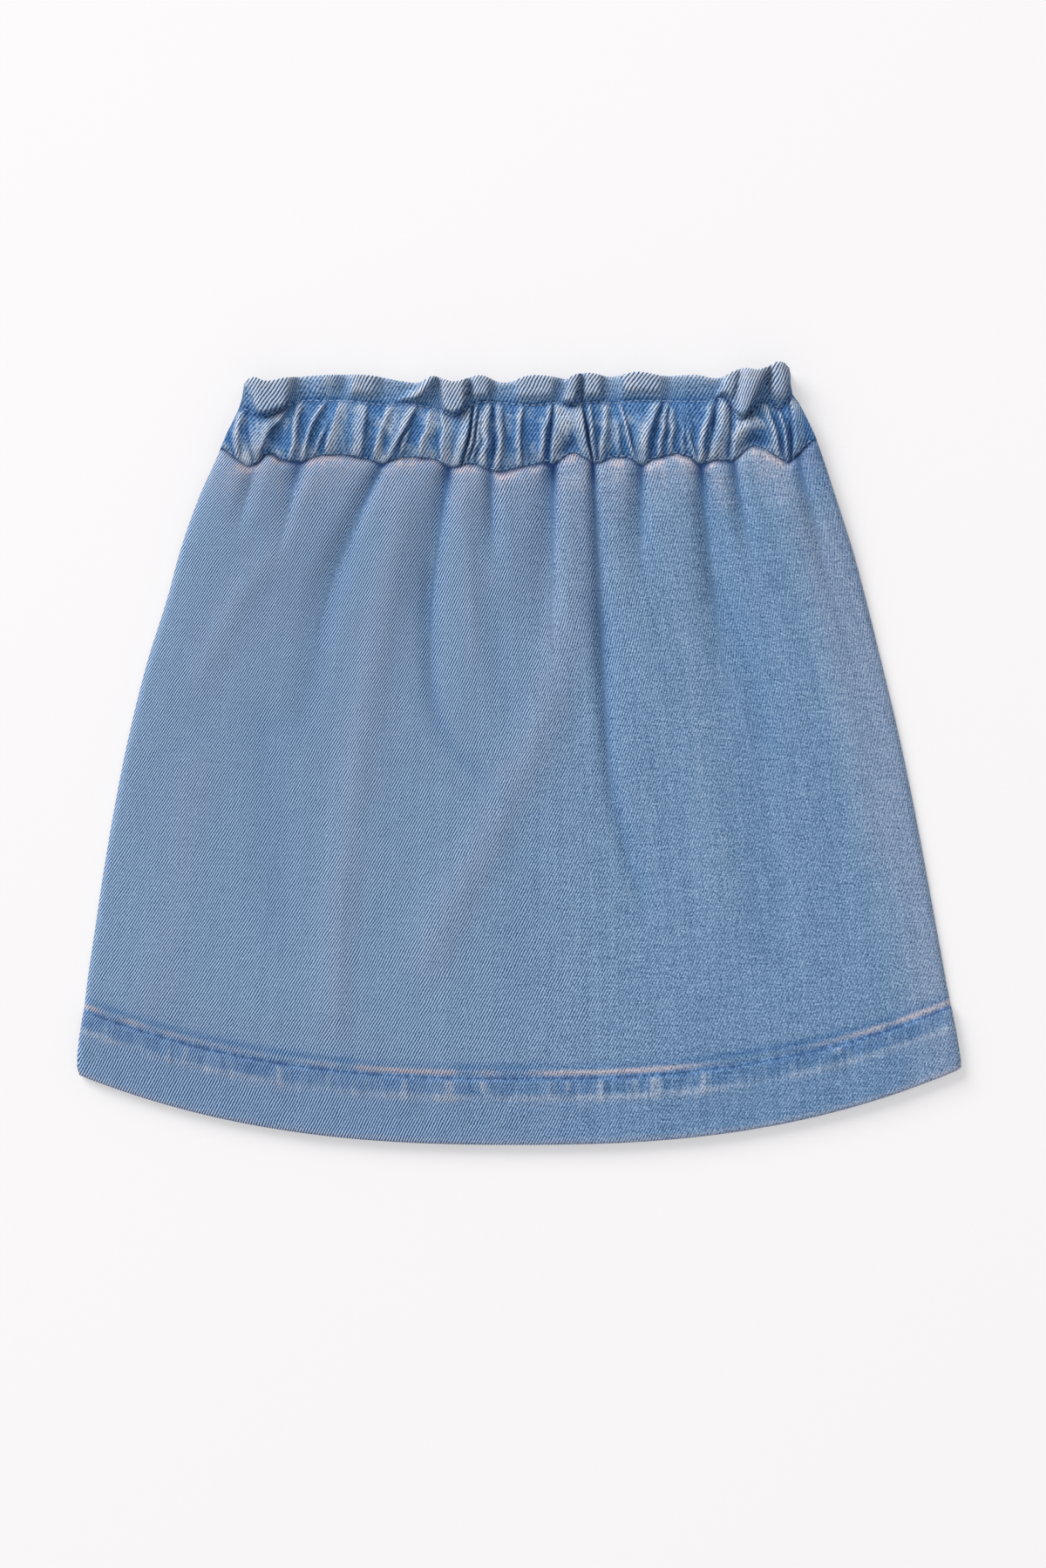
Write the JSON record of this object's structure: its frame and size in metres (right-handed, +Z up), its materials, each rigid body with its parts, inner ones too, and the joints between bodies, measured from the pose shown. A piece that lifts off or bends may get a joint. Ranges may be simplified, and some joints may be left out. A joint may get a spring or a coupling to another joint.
{
  "type": "skirt",
  "caption": "Child's pull-on denim skirt with a gathered elastic waist, a frill above it and a turned-up hem, laid flat.",
  "frame": {"origin": "bottom centre of the skirt's box, on the surface it lies on", "axes": "+X across the skirt, +Y from the hem to the waist, +Z up from the surface, out of the front panel"},
  "size_m": [0.3313, 0.294, 0.0133],
  "materials": {
    "denim_panel": "washed mid-blue twill, matte, with pale worn folds",
    "denim_waistband": "washed mid-blue twill, gathered, worn pale on its crests",
    "thread": "pale blue sewing thread"
  },
  "bodies": {
    "root": {"front_panel": "denim_panel", "back_panel": "denim_panel", "waistband_front": "denim_waistband", "waistband_back": "denim_waistband"}
  },
  "joints": []
}
